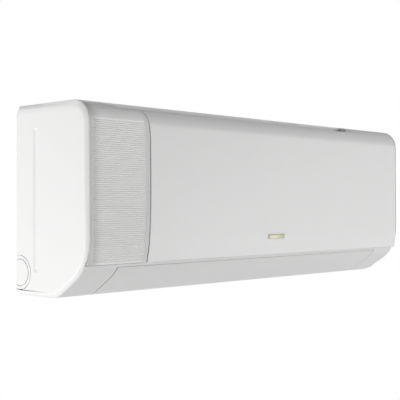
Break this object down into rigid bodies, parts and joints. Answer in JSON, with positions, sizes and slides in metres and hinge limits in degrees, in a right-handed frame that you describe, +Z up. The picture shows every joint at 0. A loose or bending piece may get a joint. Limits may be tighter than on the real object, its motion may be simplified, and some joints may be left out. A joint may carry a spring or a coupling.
{
  "type": "split air conditioner indoor unit",
  "caption": "Wall-hung split air conditioner indoor unit with a hinged front panel, a swinging outlet louver, air vanes and sliding filters.",
  "frame": {"origin": "middle of the wall plate's back face, at half the casing's height, in the plane of the wall", "axes": "+X along the casing to the right as seen from the room, +Y into the wall, +Z up"},
  "size_m": [0.87, 0.1752, 0.3],
  "materials": {
    "white_plastic": "satin white moulded plastic",
    "ribbed_plastic": "satin white moulded plastic with fine ribs",
    "grey_plastic": "matt light grey plastic",
    "dark_plastic": "matt dark grey plastic",
    "fan_plastic": "matt grey glass-filled plastic",
    "zinc_steel": "zinc-coated steel",
    "coil_aluminium": "thin aluminium fins",
    "pipe_copper": "drawn copper tube",
    "nut_brass": "turned brass",
    "black_rubber": "matt black rubber",
    "champagne_bar": "champagne anodised bar",
    "circuit_board": "green circuit board",
    "filter_mesh": "blue-grey mesh in a plastic frame"
  },
  "bodies": {
    "unit_body": {"wall_plate": "zinc_steel", "rear_chassis": "grey_plastic", "front_casing": "white_plastic", "top_grille": "white_plastic", "pipe_cover_left": "white_plastic", "pipe_cover_right": "white_plastic", "service_cover": "white_plastic", "display_board": "dark_plastic", "drain_pan": "grey_plastic", "drain_plug": "black_rubber", "coil_front_lower": "coil_aluminium", "coil_front_upper": "coil_aluminium", "coil_rear": "coil_aluminium", "tube_sheet_left": "zinc_steel", "tube_sheet_right": "zinc_steel", "suction_pipe": "pipe_copper", "liquid_pipe": "pipe_copper", "suction_nut": "nut_brass", "liquid_nut": "nut_brass", "fan_bearing": "black_rubber", "bearing_holder": "grey_plastic", "fan_motor": "zinc_steel", "motor_ring": "black_rubber", "motor_bracket": "grey_plastic", "control_box": "grey_plastic", "control_board": "circuit_board", "control_cover": "zinc_steel", "terminal_block": "dark_plastic", "louver_motor": "grey_plastic", "vane_motor": "grey_plastic", "vane_rail": "grey_plastic"},
    "front_panel_body": {"front_panel": "white_plastic", "ribbed_panel": "ribbed_plastic", "badge_bar": "champagne_bar"},
    "fan_body": {"cross_flow_fan": "fan_plastic", "fan_stub_shaft": "zinc_steel", "motor_shaft": "zinc_steel"},
    "louver_body": {"louver": "white_plastic"},
    "link_body": {"vane_link": "grey_plastic"},
    "filter_left_body": {"filter_left": "filter_mesh"},
    "filter_right_body": {"filter_right": "filter_mesh"},
    "button_body": {"manual_button": "grey_plastic"},
    "vane_1_body": {"vane_1": "white_plastic"},
    "vane_2_body": {"vane_2": "white_plastic"},
    "vane_3_body": {"vane_3": "white_plastic"},
    "vane_4_body": {"vane_4": "white_plastic"},
    "vane_5_body": {"vane_5": "white_plastic"},
    "vane_6_body": {"vane_6": "white_plastic"},
    "vane_7_body": {"vane_7": "white_plastic"},
    "vane_8_body": {"vane_8": "white_plastic"}
  },
  "joints": [
    {"name": "front_panel_hinge", "type": "hinge", "parent": "unit_body", "child": "front_panel_body", "pos_m": [0, -0.141, 0.142], "axis": [-1, 0, 0], "range_deg": [0, 62]},
    {"name": "louver_hinge", "type": "hinge", "parent": "unit_body", "child": "louver_body", "pos_m": [0, -0.104, -0.124], "axis": [1, 0, 0], "range_deg": [0, 65]},
    {"name": "fan_spin", "type": "hinge", "parent": "unit_body", "child": "fan_body", "pos_m": [0, -0.07604, -0.062], "axis": [1, 0, 0], "continuous": true},
    {"name": "vane_1_swing", "type": "hinge", "parent": "unit_body", "child": "vane_1_body", "pos_m": [-0.304, -0.134, -0.0888], "axis": [0, 0.6649, -0.747], "range_deg": [-35, 35]},
    {"name": "vane_2_swing", "type": "hinge", "parent": "unit_body", "child": "vane_2_body", "pos_m": [-0.228, -0.134, -0.0888], "axis": [0, 0.6649, -0.747], "range_deg": [-35, 35]},
    {"name": "vane_3_swing", "type": "hinge", "parent": "unit_body", "child": "vane_3_body", "pos_m": [-0.152, -0.134, -0.0888], "axis": [0, 0.6649, -0.747], "range_deg": [-35, 35]},
    {"name": "vane_4_swing", "type": "hinge", "parent": "unit_body", "child": "vane_4_body", "pos_m": [-0.076, -0.134, -0.0888], "axis": [0, 0.6649, -0.747], "range_deg": [-35, 35]},
    {"name": "vane_5_swing", "type": "hinge", "parent": "unit_body", "child": "vane_5_body", "pos_m": [0, -0.134, -0.0888], "axis": [0, 0.6649, -0.747], "range_deg": [-35, 35]},
    {"name": "vane_6_swing", "type": "hinge", "parent": "unit_body", "child": "vane_6_body", "pos_m": [0.076, -0.134, -0.0888], "axis": [0, 0.6649, -0.747], "range_deg": [-35, 35]},
    {"name": "vane_7_swing", "type": "hinge", "parent": "unit_body", "child": "vane_7_body", "pos_m": [0.152, -0.134, -0.0888], "axis": [0, 0.6649, -0.747], "range_deg": [-35, 35]},
    {"name": "vane_8_swing", "type": "hinge", "parent": "unit_body", "child": "vane_8_body", "pos_m": [0.228, -0.134, -0.0888], "axis": [0, 0.6649, -0.747], "range_deg": [-35, 35]},
    {"name": "vane_link_pin", "type": "hinge", "parent": "vane_1_body", "child": "link_body", "pos_m": [-0.304, -0.11265, -0.09925], "axis": [0, 0.6649, -0.747], "range_deg": [-35, 35]},
    {"name": "filter_left_slide", "type": "slide", "parent": "unit_body", "child": "filter_left_body", "axis": [0, 0, 1], "range_m": [0, 0.16]},
    {"name": "filter_right_slide", "type": "slide", "parent": "unit_body", "child": "filter_right_body", "axis": [0, 0, 1], "range_m": [0, 0.16]},
    {"name": "manual_button_press", "type": "slide", "parent": "unit_body", "child": "button_body", "axis": [0, 1, 0], "range_m": [0, 0.0015], "stiffness_N_per_m": 200}
  ],
  "couplings": [
    {"joint": "vane_2_swing", "follows": "vane_1_swing", "ratio": 1},
    {"joint": "vane_3_swing", "follows": "vane_1_swing", "ratio": 1},
    {"joint": "vane_4_swing", "follows": "vane_1_swing", "ratio": 1},
    {"joint": "vane_5_swing", "follows": "vane_1_swing", "ratio": 1},
    {"joint": "vane_6_swing", "follows": "vane_1_swing", "ratio": 1},
    {"joint": "vane_7_swing", "follows": "vane_1_swing", "ratio": 1},
    {"joint": "vane_8_swing", "follows": "vane_1_swing", "ratio": 1},
    {"joint": "vane_link_pin", "follows": "vane_1_swing", "ratio": -1}
  ]
}
